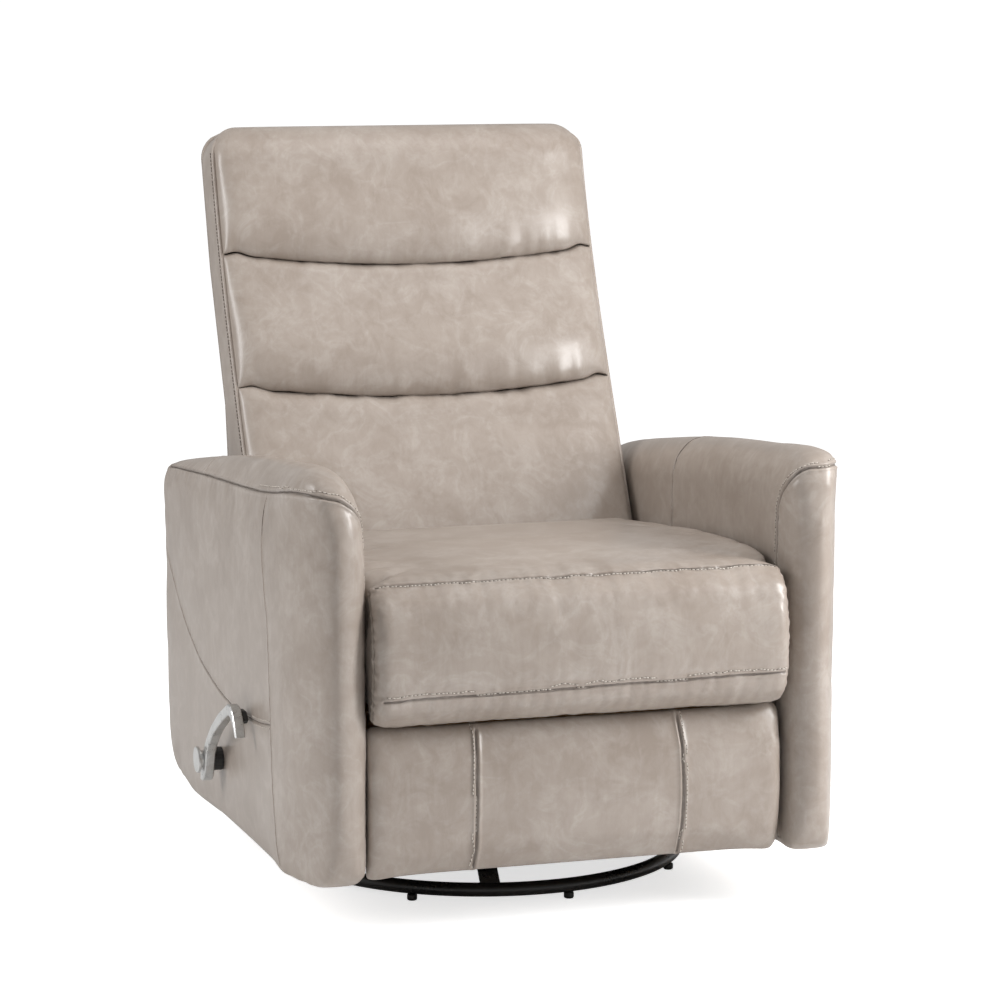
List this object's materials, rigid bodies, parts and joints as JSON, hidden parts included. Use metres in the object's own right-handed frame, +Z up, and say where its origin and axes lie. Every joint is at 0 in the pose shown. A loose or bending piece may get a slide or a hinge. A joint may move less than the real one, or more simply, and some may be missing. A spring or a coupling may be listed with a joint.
{
  "type": "swivel glider recliner chair",
  "caption": "Upholstered swivel glider recliner with padded arms, channelled back, lever-operated footrest and a round steel ring base.",
  "frame": {"origin": "on the floor under the middle of the chair's box; the swivel axis stands 19 mm to +X and 7 mm to -Y of it", "axes": "+Z up, -Y the way the sitter faces, +X to the sitter's left"},
  "size_m": [0.836, 0.9697, 1.068],
  "materials": {
    "cover": "satin",
    "black_steel": "satin",
    "zinc_steel": "satin",
    "lever_silver": "satin",
    "black_plastic": "matte",
    "frame_wood": "matte"
  },
  "bodies": {
    "base": {"base_ring": "black_steel", "base_cross": "black_steel", "swivel_race": "zinc_steel", "floor_glide_1": "black_plastic", "floor_glide_2": "black_plastic", "floor_glide_3": "black_plastic", "floor_glide_4": "black_plastic", "floor_glide_5": "black_plastic", "floor_glide_6": "black_plastic", "floor_glide_7": "black_plastic", "floor_glide_8": "black_plastic"},
    "swivel_frame": {"swivel_plate": "black_steel", "glider_post_front_left": "black_steel", "glider_post_rear_left": "black_steel", "glider_post_front_right": "black_steel", "glider_post_rear_right": "black_steel"},
    "glide_link_front_left": {"glide_link_front_left": "zinc_steel"},
    "glide_link_rear_left": {"glide_link_rear_left": "zinc_steel"},
    "glide_link_front_right": {"glide_link_front_right": "zinc_steel"},
    "glide_link_rear_right": {"glide_link_rear_right": "zinc_steel"},
    "chassis": {"carriage_rail_left": "black_steel", "arm_bracket_left": "black_steel", "arm_upholstery_left": "cover", "arm_frame_left": "frame_wood", "carriage_rail_right": "black_steel", "arm_bracket_right": "black_steel", "arm_upholstery_right": "cover", "arm_frame_right": "frame_wood", "cross_tube_front": "black_steel", "cross_tube_rear": "black_steel", "rear_panel": "cover", "lever_bush": "black_plastic"},
    "lever": {"lever_handle": "lever_silver", "lever_cap": "lever_silver", "lever_tip": "black_plastic"},
    "seat": {"seat_frame": "frame_wood", "seat_spring_1": "zinc_steel", "seat_spring_2": "zinc_steel", "seat_spring_3": "zinc_steel", "mechanism_plate_left": "zinc_steel", "mechanism_plate_right": "zinc_steel", "seat_cushion": "cover"},
    "footrest_crank": {"footrest_torque_tube": "zinc_steel", "footrest_crank_left": "zinc_steel", "footrest_crank_right": "zinc_steel"},
    "footrest_link": {"footrest_link_left": "zinc_steel", "footrest_link_right": "zinc_steel"},
    "footrest": {"footrest_board": "frame_wood", "footrest_pad": "cover", "footrest_bracket_left": "zinc_steel", "footrest_bracket_right": "zinc_steel"},
    "back": {"back_cushion_lower": "cover", "back_cushion_middle": "cover", "back_cushion_head": "cover", "back_board": "frame_wood", "outside_back": "cover", "back_bottom_rail": "frame_wood", "back_bracket_left": "zinc_steel", "back_bracket_right": "zinc_steel"}
  },
  "joints": [
    {"name": "swivel", "type": "hinge", "parent": "base", "child": "swivel_frame", "pos_m": [0.019, -0.007, 0.037], "axis": [0, 0, 1], "continuous": true},
    {"name": "glide", "type": "slide", "parent": "swivel_frame", "child": "chassis", "axis": [0, 1, 0], "range_m": [-0.04, 0.04], "stiffness_N_per_m": 1500},
    {"name": "glide_link_front_left_swing", "type": "hinge", "parent": "swivel_frame", "child": "glide_link_front_left", "pos_m": [0.195, -0.127, 0.186], "axis": [1, 0, 0], "range_deg": [-24, 24]},
    {"name": "glide_link_rear_left_swing", "type": "hinge", "parent": "swivel_frame", "child": "glide_link_rear_left", "pos_m": [0.195, 0.113, 0.186], "axis": [1, 0, 0], "range_deg": [-24, 24]},
    {"name": "glide_link_front_right_swing", "type": "hinge", "parent": "swivel_frame", "child": "glide_link_front_right", "pos_m": [-0.157, -0.127, 0.186], "axis": [1, 0, 0], "range_deg": [-24, 24]},
    {"name": "glide_link_rear_right_swing", "type": "hinge", "parent": "swivel_frame", "child": "glide_link_rear_right", "pos_m": [-0.157, 0.113, 0.186], "axis": [1, 0, 0], "range_deg": [-24, 24]},
    {"name": "back_recline", "type": "hinge", "parent": "seat", "child": "back", "pos_m": [0.019, 0.199, 0.304], "axis": [-1, 0, 0], "range_deg": [0, 35]},
    {"name": "seat_advance", "type": "slide", "parent": "chassis", "child": "seat", "axis": [0, -1, 0], "range_m": [0, 0.0505]},
    {"name": "footrest_open", "type": "hinge", "parent": "seat", "child": "footrest_crank", "pos_m": [0.019, -0.332, 0.232], "axis": [-1, 0, 0], "range_deg": [0, 111.55]},
    {"name": "footrest_link_fold", "type": "hinge", "parent": "footrest_crank", "child": "footrest_link", "pos_m": [0.019, -0.304, 0.095], "axis": [-1, 0, 0], "range_deg": [-127, 1]},
    {"name": "footrest_tilt", "type": "hinge", "parent": "footrest_link", "child": "footrest", "pos_m": [0.019, -0.385, 0.235], "axis": [-1, 0, 0], "range_deg": [-1, 105.5]},
    {"name": "lever_pull", "type": "hinge", "parent": "chassis", "child": "lever", "pos_m": [-0.38, -0.023, 0.175], "axis": [-1, 0, 0], "range_deg": [-1, 75.5]}
  ],
  "couplings": [
    {"joint": "glide_link_front_left_swing", "follows": "glide", "rad_per_m": 10},
    {"joint": "glide_link_rear_left_swing", "follows": "glide", "rad_per_m": 10},
    {"joint": "glide_link_front_right_swing", "follows": "glide", "rad_per_m": 10},
    {"joint": "glide_link_rear_right_swing", "follows": "glide", "rad_per_m": 10},
    {"joint": "seat_advance", "follows": "back_recline", "m_per_rad": 0.08185},
    {"joint": "footrest_link_fold", "follows": "footrest_open", "ratio": -1.134},
    {"joint": "footrest_tilt", "follows": "footrest_open", "ratio": 0.9408},
    {"joint": "lever_pull", "follows": "footrest_open", "ratio": 0.6723}
  ]
}
